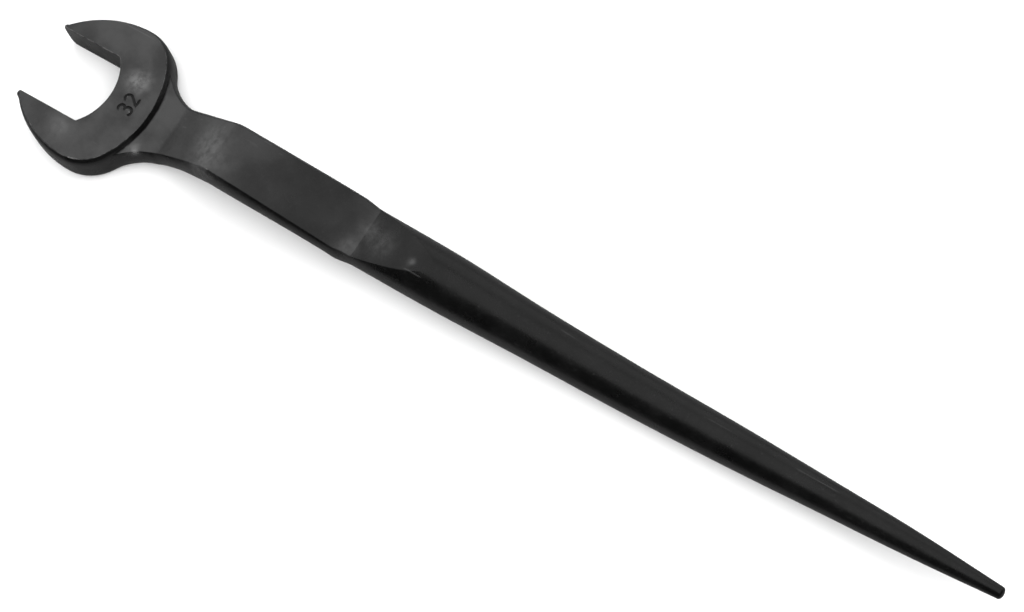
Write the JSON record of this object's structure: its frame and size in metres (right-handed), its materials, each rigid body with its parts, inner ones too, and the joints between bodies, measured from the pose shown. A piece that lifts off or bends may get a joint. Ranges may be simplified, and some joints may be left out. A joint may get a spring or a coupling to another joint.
{
  "type": "offset open-end wrench with drift handle",
  "caption": "Forged one-piece open-end wrench: an offset jaw for a large nut on a flat angled neck that runs out into a round tapered drift handle.",
  "frame": {"origin": "centre of the nut held in the jaws, on the head's underside, the face the wrench rests on", "axes": "+X from the jaws to the tip of the drift handle, +Z out of the head's upper face along the nut's axis, +Y across the two flats"},
  "size_m": [0.446, 0.0654, 0.0321],
  "materials": {
    "black_oxide_steel": "black-oxide forged steel, satin, ground flats, light wear on the edges"
  },
  "bodies": {
    "root": {"wrench_forging": "black_oxide_steel"}
  },
  "joints": []
}
